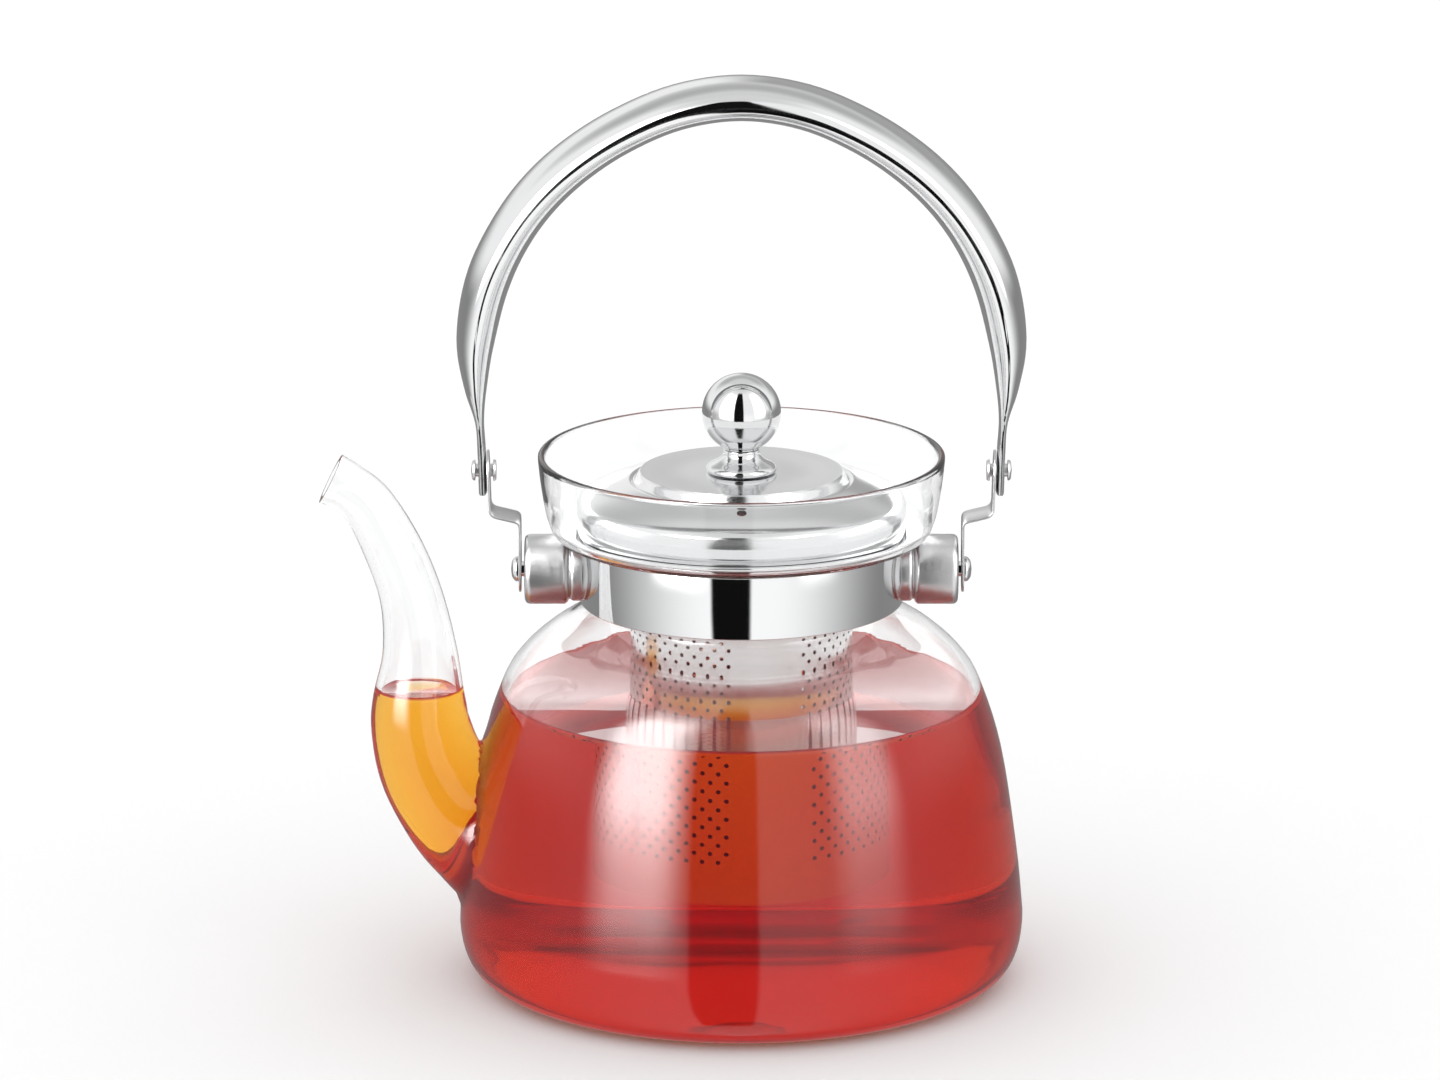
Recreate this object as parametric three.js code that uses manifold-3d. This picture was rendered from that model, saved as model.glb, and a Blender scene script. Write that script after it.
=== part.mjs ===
// Glass teapot with a steel neck band, a swinging bail handle, a lift-out infuser and a lid.
// Millimetres, +Z up. The origin is the middle of the flat glass base; the spout points to -X.
import * as THREE from 'three';
import { mergeVertices } from 'three/addons/utils/BufferGeometryUtils.js';
import Module from 'manifold-3d';

const wasm = await Module();
wasm.setup();

// Driving dimensions
const GAP = 0.3; // clearance kept between neighbouring pieces
const ROUND = 36; // facets round a large turned piece
const FINE = 16; // facets round a small turned piece

const BASE_R = 62; // flat part of the glass base
const BODY_R = 74.5; // widest glass radius
const BODY_R_Z = 17; // height of the widest radius
const GLASS_WALL = 2.2;
const NECK_R = 40.2; // outside of the glass neck
const LEDGE_Z = 121; // flat glass ledge that carries the infuser
const RIM_Z = 141; // top of the flared glass collar

const BAND_R = 42.4;
const BAND_Z = [101.8, 118.3];
const SHEET = 0.8; // steel sheet of the band, the lid and the infuser

const PIVOT_Z = 109.8; // height of the bail's swing axis
const LUG_R = 9.2;
const LUG_FACE_X = 56.8;
const STRAP_W = 12;
const STRAP_T = 1.2;
const RIVET_Z = 136.5; // height of the rivet between strap and handle

const INFUSER_R = 29.3;
const INFUSER_Z = 28.4; // underside of the basket
const FLANGE_R = 47;

const LID_R = 43.2;
const LID_Z = 122.5; // lower edge of the lid
const LID_TOP_Z = 136.1;
const VENT_Y = -33;
const KNOB_R = 10.4;
const KNOB_Z = 152;

const steel = { color: 0xc9ccd0, roughness: 0.12, metalness: 1 };
const glass = { color: 0xe8eef0, roughness: 0.03, metalness: 0, transparent: true, opacity: 0.35 };
const silicone = { color: 0xdcdcd8, roughness: 0.5, metalness: 0 };

const v2 = (x, y) => new THREE.Vector2(x, y);
const teapot = new THREE.Group();

// Shape helpers

// Leaves only merged positions, with no flat triangles and with all faces pointing out.
function closed(geometry) {
  const bare = geometry.clone();
  bare.deleteAttribute('normal');
  bare.deleteAttribute('uv');
  const merged = mergeVertices(bare, 1e-4);
  const index = merged.getIndex().array;
  const position = merged.getAttribute('position');
  const [a, b, c] = [new THREE.Vector3(), new THREE.Vector3(), new THREE.Vector3()];
  const kept = [];
  let volume = 0;
  for (let i = 0; i < index.length; i += 3) {
    const [p, q, r] = [index[i], index[i + 1], index[i + 2]];
    if (p === q || q === r || r === p) continue;
    a.fromBufferAttribute(position, p);
    b.fromBufferAttribute(position, q);
    c.fromBufferAttribute(position, r);
    volume += a.dot(b.cross(c));
    kept.push(p, q, r);
  }
  if (volume < 0) kept.reverse();
  merged.setIndex(kept);
  return merged;
}

function solid(geometry) {
  const shape = closed(geometry);
  const vertProperties = new Float32Array(shape.getAttribute('position').array);
  const triVerts = new Uint32Array(shape.getIndex().array);
  return new wasm.Manifold(new wasm.Mesh({ numProp: 3, vertProperties, triVerts }));
}

function surface(manifold) {
  const mesh = manifold.getMesh();
  const geometry = new THREE.BufferGeometry();
  geometry.setAttribute('position', new THREE.BufferAttribute(mesh.vertProperties, 3));
  geometry.setIndex(new THREE.BufferAttribute(mesh.triVerts, 1));
  return geometry;
}

function cut(geometry, ...tools) {
  return surface(tools.reduce((left, tool) => left.subtract(solid(tool)), solid(geometry)));
}

// A turned piece about Z; the profile is [radius, height] pairs.
function turned(profile, facets = ROUND) {
  const lathe = new THREE.LatheGeometry(profile.map(([r, z]) => v2(r, z)), facets);
  return closed(lathe.rotateX(Math.PI / 2));
}

// A turned ring: the profile's last point joins its first.
function turnedRing(profile, facets = ROUND) {
  return turned([...profile, profile[0]], facets);
}

// A turned piece whose profile is [radius, distance along +X], for lugs and rivets.
function turnedAboutX(profile, facets = FINE) {
  return turned(profile, facets).rotateY(Math.PI / 2);
}

function rodAlongX(radius, from, to, z, y = 0) {
  return turnedAboutX([[0, from], [radius, from], [radius, to], [0, to]]).translate(0, y, z);
}

// The same piece on the other side of the pot.
function mirroredX(geometry) {
  return closed(geometry.clone().scale(-1, 1, 1));
}

function add(name, geometry, finish) {
  const mesh = new THREE.Mesh(geometry, new THREE.MeshStandardMaterial(finish));
  mesh.name = name;
  teapot.add(mesh);
}

function addPair(name, geometry, finish) {
  add(`${name}_right`, geometry, finish);
  add(`${name}_left`, mirroredX(geometry), finish);
}

// Glass body: a flat base, a wide low belly, a neck, and a flared collar above a ledge.

function bodyOutline(grow = 0) {
  const corner = new THREE.CubicBezierCurve(
    v2(BASE_R, -grow), v2(BASE_R + 9, -grow), v2(BODY_R + grow, 6), v2(BODY_R + grow, BODY_R_Z),
  );
  const belly = new THREE.SplineCurve([
    v2(BODY_R, BODY_R_Z), v2(72.8, 34), v2(68.6, 61), v2(62.9, 79),
    v2(58.2, 86.6), v2(51.4, 92.8), v2(45, 97), v2(NECK_R, 101.2),
  ].map((p) => v2(p.x + grow, p.y + grow * 0.5)));
  return [...corner.getPoints(3), ...belly.getPoints(10).slice(1)];
}

function glassShell() {
  const outside = bodyOutline();
  const collarOutside = [v2(NECK_R, 118.2), v2(41.4, 119.1), v2(48.2, 119.4), v2(49.9, 121.4),
    v2(51.4, 126), v2(52.7, 135), v2(53.3, 140.4)];
  const rim = [v2(52.6, RIM_Z), v2(51.7, 140.6)];
  const collarInside = [v2(50.8, 135), v2(49.6, 127), v2(48.8, 123), v2(47.8, LEDGE_Z),
    v2(39.2, LEDGE_Z), v2(38, 119.6), v2(38, 102)];
  const inside = bodyOutline().slice(3, -1).reverse().map((p) => v2(p.x - GLASS_WALL, p.y - 1));
  const floor = [v2(BASE_R + 2, GLASS_WALL + 0.8), v2(0, GLASS_WALL)];
  const profile = [v2(0, 0), ...outside, ...collarOutside, ...rim, ...collarInside, ...inside, ...floor];
  return turned(profile.map((p) => [p.x, p.y]));
}

// Spout: a tapering swan-neck tube in the XZ plane. Each station is [x, z, outside radius].

const SPOUT_STATIONS = [
  [-66, 38.5, 19], [-74, 44.5, 15.8], [-81.2, 55.5, 14.3], [-84.3, 66, 13.2], [-84.8, 74, 12.4],
  [-84.5, 87, 9.9], [-86.6, 102, 8.2], [-91.4, 116, 7.9], [-97.6, 127.4, 6.9], [-107.4, 134.4, 6.7],
];
const SPOUT_WALL = 1.8;

// Wraps a cylinder's wall round the spout's centre line; past 0 and 1 it runs straight on.
function spoutTube(thinner, overrun) {
  const centre = new THREE.CatmullRomCurve3(SPOUT_STATIONS.map(([x, z]) => new THREE.Vector3(x, 0, z)));
  const radius = new THREE.SplineCurve(SPOUT_STATIONS.map(([, , r], i) => v2(i, r)));
  const tube = new THREE.CylinderGeometry(1, 1, 1, 16, 18);
  const position = tube.getAttribute('position');
  for (let i = 0; i < position.count; i += 1) {
    const along = position.getY(i) + 0.5;
    const point = centre.getPoint(along);
    const tangent = centre.getTangent(along);
    const side = new THREE.Vector3(tangent.z, 0, -tangent.x);
    const r = radius.getPoint(along).y - thinner;
    const past = along === 0 ? -overrun : along === 1 ? overrun : 0;
    point.addScaledVector(tangent, past).addScaledVector(side, r * position.getX(i));
    point.y += r * position.getZ(i);
    position.setXYZ(i, point.x, point.y, point.z);
  }
  return tube;
}

function addGlass() {
  const channel = spoutTube(SPOUT_WALL, 8);
  const bodyHull = turned([[0, -GAP], ...bodyOutline(GAP).map((p) => [p.x, p.y]), [0, 104]]);
  add('glass_body', cut(glassShell(), channel), glass);
  add('glass_spout', cut(spoutTube(0, 0), channel, bodyHull), glass);
}

// Neck band: a split ring of steel sheet on a silicone liner, closed under the right-hand lug.

function addNeckBand() {
  const [low, high] = BAND_Z;
  const inner = BAND_R - SHEET;
  const slot = new THREE.BoxGeometry(8, 1, 30).translate(BAND_R, 0, PIVOT_Z);
  add('neck_band', cut(turnedRing([[BAND_R, low], [BAND_R, high], [inner, high], [inner, low]]), slot), steel);
  const liner = [[inner - GAP, low + 1], [inner - GAP, high - 1], [NECK_R + GAP, high - 1.4],
    [NECK_R + GAP, low + 1]];
  add('band_liner', turnedRing(liner), silicone);
}

// Lugs: turned bosses on the band that carry the bail. Each has a blind hole for its pivot screw.

function addLugs() {
  const hole = [2.3, 48];
  const boss = turnedAboutX([
    [0, 38], [8.2, 38], [8.2, 44.4], [7.8, 45], [LUG_R, 45.6], [LUG_R, LUG_FACE_X - 1.3],
    [LUG_R - 0.4, LUG_FACE_X - 0.4], [LUG_R - 1.3, LUG_FACE_X], [0, LUG_FACE_X],
  ]).translate(0, 0, PIVOT_Z);
  const saddle = turned([[0, 90], [BAND_R + GAP, 90], [BAND_R + GAP, 130], [0, 130]]);
  addPair('lug', cut(boss, saddle, rodAlongX(hole[0], hole[1], 60, PIVOT_Z)), steel);
  const strapOutside = LUG_FACE_X + GAP + STRAP_T;
  const screw = turnedAboutX([
    [0, hole[1] + GAP], [2, hole[1] + GAP], [2, strapOutside + GAP], [3.3, strapOutside + GAP],
    [3, strapOutside + 1.2], [1.8, strapOutside + 1.9], [0, strapOutside + 2.1],
  ]).translate(0, 0, PIVOT_Z);
  addPair('pivot_screw', screw, steel);
}

// Bail straps: flat strips with an eye on the pivot screw, bent out and up to the handle.

const HANDLE_END = [67.6, 131]; // x and z of the handle's flattened end

function addStraps() {
  const inside = LUG_FACE_X + GAP;
  const strip = new THREE.Shape([
    v2(inside, 100), v2(inside + STRAP_T, 100), v2(inside + STRAP_T, 123.2), v2(66.2, 125),
    v2(66.6, 142), v2(65.4, 142), v2(65, 126.4), v2(inside + 0.3, 124.6), v2(inside, 124),
  ]);
  const bent = new THREE.ExtrudeGeometry(strip, { depth: STRAP_W, bevelEnabled: false });
  bent.rotateX(Math.PI / 2).translate(0, STRAP_W / 2, 0);
  const face = new THREE.Shape();
  face.absarc(0, PIVOT_Z, STRAP_W / 2 + 0.5, Math.PI, 2 * Math.PI, false);
  face.lineTo(STRAP_W / 2, 138);
  face.absarc(0, 138, 3.9, 0, Math.PI, false);
  face.lineTo(-STRAP_W / 2, 138);
  const outline = new THREE.ExtrudeGeometry(face, { depth: 20, bevelEnabled: false, curveSegments: 10 });
  outline.applyMatrix4(new THREE.Matrix4().makeBasis(
    new THREE.Vector3(0, 1, 0), new THREE.Vector3(0, 0, 1), new THREE.Vector3(1, 0, 0),
  )).translate(50, 0, 0);
  const strap = solid(bent).intersect(solid(outline))
    .subtract(solid(rodAlongX(2.3, 50, 62, PIVOT_Z)))
    .subtract(solid(rodAlongX(1.9, 60, 70, RIVET_Z)));
  addPair('bail_strap', surface(strap), steel);
  const rivet = turnedAboutX([
    [0, 64], [2.6, 64.1], [2.9, 64.9], [1.6, 64.9], [1.6, 69.6], [2.8, 69.6], [2.5, 70.4], [0, 70.7],
  ]).translate(0, 0, RIVET_Z);
  addPair('handle_rivet', rivet, steel);
}

// Handle: a hollow arch pressed from an outer and an inner half, flattened at both ends.

const ARCH_STATIONS = [ // x, z, half thickness in the arch's plane, half width across it
  [HANDLE_END[0], HANDLE_END[1], 1.1, 6], [67.9, 142, 1.1, 6], [68.4, 150, 1.2, 6.2],
  [69.4, 159.5, 3.1, 7.4], [69.3, 171.5, 5, 9.6], [66.4, 186, 5.8, 11.4], [61.2, 198, 5.8, 12.6],
  [53.8, 209, 5.8, 13.4], [44, 218.6, 5.7, 13.8], [31.4, 227, 5.5, 14], [16.4, 233.4, 5.4, 14],
];
const ARCH_TOP = [0, 235.8, 5.4, 14];

function archCurves() {
  const half = ARCH_STATIONS;
  const all = [...half, ARCH_TOP, ...half.slice().reverse().map(([x, z, t, w]) => [-x, z, t, w])];
  return {
    centre: new THREE.CatmullRomCurve3(all.map(([x, z]) => new THREE.Vector3(x, 0, z))),
    thickness: new THREE.SplineCurve(all.map(([, , t], i) => v2(i, t))),
    width: new THREE.SplineCurve(all.map(([, , , w], i) => v2(i, w))),
  };
}

// Lays a half-round crescent along the arch. Points of the crescent nearer than 0.9 to its
// middle belong to the inner skin, which lies one sheet inside the outer one.
function archShell(outward) {
  const { centre, thickness, width } = archCurves();
  const crescent = new THREE.Shape();
  crescent.absarc(0, 0, 1, 0, Math.PI, false);
  crescent.absarc(0, 0, 0.8, Math.PI, 0, true);
  const bar = new THREE.ExtrudeGeometry(crescent, {
    depth: 1, steps: 32, bevelEnabled: false, curveSegments: 4,
  });
  const position = bar.getAttribute('position');
  for (let i = 0; i < position.count; i += 1) {
    const [across, up, along] = [position.getX(i), position.getY(i), position.getZ(i)];
    const reach = Math.hypot(across, up);
    const inset = reach < 0.9 ? SHEET : 0;
    const point = centre.getPoint(along);
    const tangent = centre.getTangent(along);
    const outwards = new THREE.Vector3(tangent.z, 0, -tangent.x).multiplyScalar(outward);
    const half = GAP / 2;
    const height = half + (up / reach) * (thickness.getPoint(along).y - inset - half);
    point.addScaledVector(outwards, height);
    point.y = (across / reach) * (width.getPoint(along).y - inset);
    position.setXYZ(i, point.x, point.y, point.z);
  }
  const holes = [rodAlongX(1.9, 60, 75, RIVET_Z), rodAlongX(1.9, -75, -60, RIVET_Z)];
  return cut(bar, ...holes);
}

function addHandle() {
  add('handle_outer_half', archShell(1), steel);
  add('handle_inner_half', archShell(-1), steel);
}

// Infuser: a flange that rests on the glass ledge, a straight wall and a pressed base.

function addInfuser() {
  const flangeZ = LEDGE_Z + GAP;
  const sleeve = INFUSER_R + GAP;
  const bead = 1.5;
  add('infuser_flange', turnedRing([
    [sleeve, 108], [sleeve + SHEET, 108], [sleeve + SHEET, flangeZ], [FLANGE_R, flangeZ],
    [FLANGE_R, flangeZ + bead], [FLANGE_R - bead, flangeZ + bead], [FLANGE_R - bead, flangeZ + SHEET],
    [sleeve, flangeZ + SHEET],
  ]), steel);
  add('infuser_wall', turnedRing([
    [INFUSER_R, INFUSER_Z], [INFUSER_R, LEDGE_Z], [INFUSER_R - SHEET, LEDGE_Z], [INFUSER_R - SHEET, INFUSER_Z],
  ]), steel);
  const inner = INFUSER_R - SHEET - GAP;
  add('infuser_base', turned([
    [0, INFUSER_Z], [inner - 0.8, INFUSER_Z], [inner, INFUSER_Z + 0.8], [inner, INFUSER_Z + 5],
    [inner - SHEET, INFUSER_Z + 5], [inner - SHEET, INFUSER_Z + SHEET + 0.6],
    [inner - 1.6, INFUSER_Z + SHEET], [0, INFUSER_Z + SHEET],
  ]), steel);
}

// Lid: a pressed dome with a steam hole, a liner whose skirt drops into the basket, and a knob.

function addLid() {
  const outside = [[LID_R, LID_Z], [LID_R + 0.4, 125], [LID_R, 128], [41.6, 129.6], [36.6, 131.9],
    [31.6, 133.6], [28.8, 134.4], [28.2, 134.2], [27.6, 135.2], [26, 136], [18, 136.4], [10, LID_TOP_Z]];
  const inside = [[LID_R - SHEET, LID_Z], [LID_R - SHEET, 127], [41, 128.7], [36.4, 131],
    [27.8, 133.4], [26, 134.9]];
  const shell = [...outside, [2.2, LID_TOP_Z], [2.2, LID_TOP_Z - SHEET], ...inside.reverse()];
  const vent = new THREE.CylinderGeometry(1.3, 1.3, 12, 12).rotateX(Math.PI / 2).translate(0, VENT_Y, 134);
  add('lid_dome', cut(turnedRing(shell), vent), steel);
  const skirt = INFUSER_R - SHEET - 0.4;
  add('lid_liner', turnedRing([
    [skirt, 115], [skirt, 122.6], [LID_R - SHEET - 0.6, 122.6], [LID_R - SHEET - 0.6, 123.4],
    [skirt - SHEET, 123.4], [skirt - SHEET, 115],
  ]), steel);
}

function addKnob() {
  const seat = LID_TOP_Z + GAP;
  const waist = 142.2;
  add('knob_collar', turnedRing([
    [2.2, seat], [9, seat], [9.35, seat + 0.6], [8.8, seat + 1.5], [6.6, seat + 2.6], [5, seat + 4.2],
    [4.5, waist], [2.2, waist],
  ], 24), steel);
  const ball = [];
  const steps = 9;
  const start = Math.asin(4.8 / KNOB_R);
  for (let i = 0; i <= steps; i += 1) {
    const angle = start + ((Math.PI - start) * i) / steps;
    ball.push([KNOB_R * Math.sin(angle), KNOB_Z - KNOB_R * Math.cos(angle)]);
  }
  ball[steps][0] = 0;
  add('knob_ball', turned([[0, 150], [2.2, 150], [2.2, waist + GAP], ...ball], 24), steel);
  const under = LID_TOP_Z - SHEET - GAP;
  add('knob_screw', turned([
    [0, under - 3], [3.4, under - 3], [3.8, under - 2.5], [3.8, under - 0.8 - GAP], [1.9, under - 0.8 - GAP],
    [1.9, 149.5], [0, 149.5],
  ], FINE), steel);
  add('knob_washer', turnedRing([[2.2, under - 0.8], [7, under - 0.8], [7, under], [2.2, under]], FINE), steel);
}

addGlass();
addNeckBand();
addLugs();
addStraps();
addHandle();
addInfuser();
addLid();
addKnob();

export default teapot;
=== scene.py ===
# %% [markdown]
# # A glass teapot with a steel bail handle
#
# This pot is one piece of blown borosilicate glass with a swan-neck spout. A polished steel band is
# clamped round its neck, and two lugs on the band carry a hollow arched handle that swings. A perforated
# basket hangs in the neck and a domed steel lid closes it.
#
# We build it piece by piece round a fixed frame that gives every piece its size, place and body. Turned
# and pressed pieces are spun from short profiles, because that is how the metal and the glass are really
# formed.

# %% Load the frame
import math

import bmesh
import bpy
from mathutils import Matrix, Vector
from mathutils.bvhtree import BVHTree
from mathutils.geometry import interpolate_bezier


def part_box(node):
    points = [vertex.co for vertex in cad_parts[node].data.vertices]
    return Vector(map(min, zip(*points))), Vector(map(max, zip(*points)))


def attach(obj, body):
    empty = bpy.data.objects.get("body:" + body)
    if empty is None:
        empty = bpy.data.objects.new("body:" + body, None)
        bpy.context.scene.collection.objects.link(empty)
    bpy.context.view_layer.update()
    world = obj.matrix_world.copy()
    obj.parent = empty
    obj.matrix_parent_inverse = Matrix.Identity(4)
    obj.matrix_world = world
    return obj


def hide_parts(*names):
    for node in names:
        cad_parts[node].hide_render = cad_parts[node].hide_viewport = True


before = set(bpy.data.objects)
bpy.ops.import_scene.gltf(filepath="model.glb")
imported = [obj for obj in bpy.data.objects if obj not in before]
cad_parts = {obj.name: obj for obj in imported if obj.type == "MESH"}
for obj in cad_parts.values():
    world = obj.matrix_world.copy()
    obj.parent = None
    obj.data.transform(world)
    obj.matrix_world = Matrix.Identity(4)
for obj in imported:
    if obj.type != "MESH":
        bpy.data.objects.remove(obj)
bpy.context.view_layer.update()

MM = 0.001
TURN = 2 * math.pi
scene = bpy.context.scene


def span(node, axis):
    """Lowest and highest coordinate of a frame node along an axis (0, 1 or 2), in millimetres."""
    low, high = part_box(node)
    return low[axis] / MM, high[axis] / MM


# %% [markdown]
# ## Camera, floor and light
#
# A long lens from a little above the table keeps the uprights nearly parallel. The camera sits 2.3 metres
# away and looks down by 14.6 degrees.
#
# Polished steel shows only what surrounds it. Two tall soft boxes stand left and right of the camera with
# a dark gap between them, and that gap is the black stripe down the middle of the band. We paint this
# studio into the world by direction. Mirrored rays see the studio, rays that came through glass see a
# softer version of it, and all others see plain white. No real room does that, but it lets clear glass
# stay clear beside bright steel. The floor is left out of reflections, so the boxes reach below it.

# %% Camera
LOOK_AT = Vector((-5.6, 0, 117.6)) * MM
CAMERA_TILT = math.radians(14.6)
CAMERA_DISTANCE = 2.3
LENS_PER_METRE = 95.4

camera_data = bpy.data.cameras.new("camera")
camera_data.lens = LENS_PER_METRE * CAMERA_DISTANCE
camera_data.clip_end = 50
camera = bpy.data.objects.new("camera", camera_data)
away = Vector((0, -math.cos(CAMERA_TILT), math.sin(CAMERA_TILT)))
camera.location = LOOK_AT + away * CAMERA_DISTANCE
camera.rotation_euler = (math.pi / 2 - CAMERA_TILT, 0, 0)
scene.collection.objects.link(camera)
scene.camera = camera
scene.view_settings.view_transform = "Standard"
scene.cycles.max_bounces = 28
scene.cycles.glossy_bounces = 14
scene.cycles.transmission_bounces = 26
print("camera at", [round(value, 3) for value in camera.location])


# %% Shader maths: numbers that build their own nodes
class Number:
    """A shader number. Python operators on it add Math nodes to its node tree."""

    def __init__(self, tree, socket):
        self.tree = tree
        self.socket = socket

    def maths(self, operation, *values):
        node = self.tree.nodes.new("ShaderNodeMath")
        node.operation = operation
        for slot, value in zip(node.inputs, values):
            if isinstance(value, Number):
                self.tree.links.new(value.socket, slot)
            else:
                slot.default_value = value
        return Number(self.tree, node.outputs[0])

    def __add__(self, other):
        return self.maths("ADD", self, other)

    def __radd__(self, other):
        return self.maths("ADD", other, self)

    def __sub__(self, other):
        return self.maths("SUBTRACT", self, other)

    def __rsub__(self, other):
        return self.maths("SUBTRACT", other, self)

    def __mul__(self, other):
        return self.maths("MULTIPLY", self, other)

    def __rmul__(self, other):
        return self.maths("MULTIPLY", other, self)

    def __truediv__(self, other):
        return self.maths("DIVIDE", self, other)

    def over(self, low, high):
        """0 below low, 1 above high, and a soft step between them."""
        node = self.tree.nodes.new("ShaderNodeMapRange")
        node.interpolation_type = "SMOOTHSTEP"
        node.inputs["From Min"].default_value = low
        node.inputs["From Max"].default_value = high
        self.tree.links.new(self.socket, node.inputs["Value"])
        return Number(self.tree, node.outputs["Result"])

    def between(self, low, high, soft):
        """1 between low and high, 0 outside, with soft edges."""
        return self.over(low - soft, low + soft) * (1 - self.over(high - soft, high + soft))


class Nodes:
    """A node tree that is filled by one call for each node."""

    def __init__(self, owner):
        owner.use_nodes = True
        self.tree = owner.node_tree
        self.tree.nodes.clear()

    def add(self, kind, settings=None, **sockets):
        """Adds a node, sets its settings, then gives its sockets values or links."""
        node = self.tree.nodes.new(kind)
        for name, value in (settings or {}).items():
            setattr(node, name, value)
        for name, value in sockets.items():
            socket = node.inputs[name.replace("_", " ")]
            if isinstance(value, Number):
                self.tree.links.new(value.socket, socket)
            elif isinstance(value, bpy.types.NodeSocket):
                self.tree.links.new(value, socket)
            else:
                socket.default_value = value
        return node

    def number(self, kind, output, settings=None, **sockets):
        return Number(self.tree, self.add(kind, settings, **sockets).outputs[output])


# %% A studio for reflections and a white surround for everything else
LEFT_BOX = 25      # strength of the soft box on the left of the camera
RIGHT_BOX = 7      # strength of the weaker one on the right
WHITE = 1.36       # the plain surround that lights the floor and fills the background


def build_world():
    world = bpy.data.worlds.new("studio")
    scene.world = world
    nodes = Nodes(world)
    direction = nodes.add("ShaderNodeTexCoord").outputs["Generated"]
    parts = nodes.add("ShaderNodeSeparateXYZ", Vector=direction)
    x, y, z = (Number(nodes.tree, parts.outputs[axis]) for axis in "XYZ")
    turn = x.maths("ARCTAN2", x, y * -1) * (180 / math.pi)
    rise = z.maths("ARCSINE", z) * (180 / math.pi)
    aside = turn.maths("ABSOLUTE", turn)
    table = 0.34 + (1 - aside.over(20, 120)) * 1.12
    to_rear = aside.over(112, 150)
    rear = 0.95 - rise.between(30, 50, 8) * 0.3
    slant = 1.3 - x.over(-0.08, 0.08) * 0.75
    rear = rear * (slant * (1 - rise.over(22, 30)) + rise.over(22, 30))
    walls = 1.3 * (1 - to_rear) + rear * to_rear
    high = rise.over(-5, 12)
    ceiling = rise.over(62, 80)
    shell = table * (1 - high) + walls * high * (1 - ceiling) + ceiling
    left_box = turn.between(-62, -30, 9) * rise.over(-12, 12) * (1 - rise.over(44, 64)) * LEFT_BOX
    right_box = turn.between(44, 70, 8) * rise.over(-12, 12) * (1 - rise.over(44, 64)) * RIGHT_BOX
    gap = turn.between(-21.5, 6.5, 1.5) * rise.between(-58, 70, 4)
    rays = nodes.add("ShaderNodeLightPath")
    first = 1 - Number(nodes.tree, rays.outputs["Glossy Depth"]).over(1.2, 1.8)
    room = (shell + (left_box + right_box) * first) * (1 - gap * 0.995)
    bounced = Number(nodes.tree, rays.outputs["Is Glossy Ray"])
    through = Number(nodes.tree, rays.outputs["Is Transmission Ray"])
    scattered = Number(nodes.tree, rays.outputs["Diffuse Depth"]).over(0.2, 0.8)
    mirrored = bounced * (1 - through) * (1 - scattered)
    through = through * (1 - scattered)
    front = 1 - aside.over(60, 120)
    shallow = 1 - Number(nodes.tree, rays.outputs["Transmission Depth"]).over(4.2, 4.8)
    off_tea = 1.4 + shallow * rise.over(4, 12) * 1.7
    behind_glass = off_tea * (1 - front) + (1.25 - gap * 1.15) * front
    strength = mirrored * room + through * behind_glass + (1 - mirrored) * (1 - through) * WHITE
    background = nodes.add("ShaderNodeBackground", Strength=strength)
    output = nodes.add("ShaderNodeOutputWorld")
    nodes.tree.links.new(background.outputs[0], output.inputs["Surface"])


build_world()

# %% Floor


def principled(name, build):
    """A material whose Principled sockets come from build(nodes), as a dictionary."""
    material = bpy.data.materials.new(name)
    nodes = Nodes(material)
    sockets = build(nodes)
    volume = sockets.pop("Volume", None)
    touching = sockets.pop("Touching", None)
    shader = nodes.add("ShaderNodeBsdfPrincipled", **sockets)
    if touching is not None:
        where, sockets["IOR"] = touching
        inner = nodes.add("ShaderNodeBsdfPrincipled", **sockets)
        mixed = nodes.add("ShaderNodeMixShader", Fac=where)
        nodes.tree.links.new(shader.outputs[0], mixed.inputs[1])
        nodes.tree.links.new(inner.outputs[0], mixed.inputs[2])
        shader = mixed
    output = nodes.add("ShaderNodeOutputMaterial", Surface=shader.outputs[0])
    if volume is not None:
        nodes.tree.links.new(volume, output.inputs["Volume"])
    return material


def noise(nodes, scale, stretch=(1, 1, 1), detail=3.0, roughness=0.5):
    """Noise on Object coordinates; scale is in cells per metre, stretch is by axis."""
    place = nodes.add("ShaderNodeTexCoord").outputs["Object"]
    mapped = nodes.add("ShaderNodeMapping", Vector=place, Scale=stretch).outputs[0]
    return nodes.number("ShaderNodeTexNoise", "Fac", Vector=mapped, Scale=scale, Detail=detail,
                        Roughness=roughness)


def bump(nodes, height, distance, strength=1.0):
    """A bumped normal; distance is the depth in metres of a height of 1."""
    return nodes.add("ShaderNodeBump", Height=height, Distance=distance, Strength=strength).outputs[0]


def paper_white(nodes):
    grain = noise(nodes, 900)
    return {"Base_Color": (0.94, 0.94, 0.94, 1), "Roughness": 0.75 + grain * 0.1,
            "Specular_IOR_Level": 0.2, "Normal": bump(nodes, grain, 0.00002)}


def build_floor():
    bm = bmesh.new()
    bmesh.ops.create_grid(bm, x_segments=2, y_segments=2, size=4)
    mesh = bpy.data.meshes.new("floor")
    bm.to_mesh(mesh)
    bm.free()
    mesh.materials.append(principled("paper white", paper_white))
    floor = bpy.data.objects.new("floor", mesh)
    floor.location.z = -0.0003
    floor.visible_glossy = False
    scene.collection.objects.link(floor)


build_floor()

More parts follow.
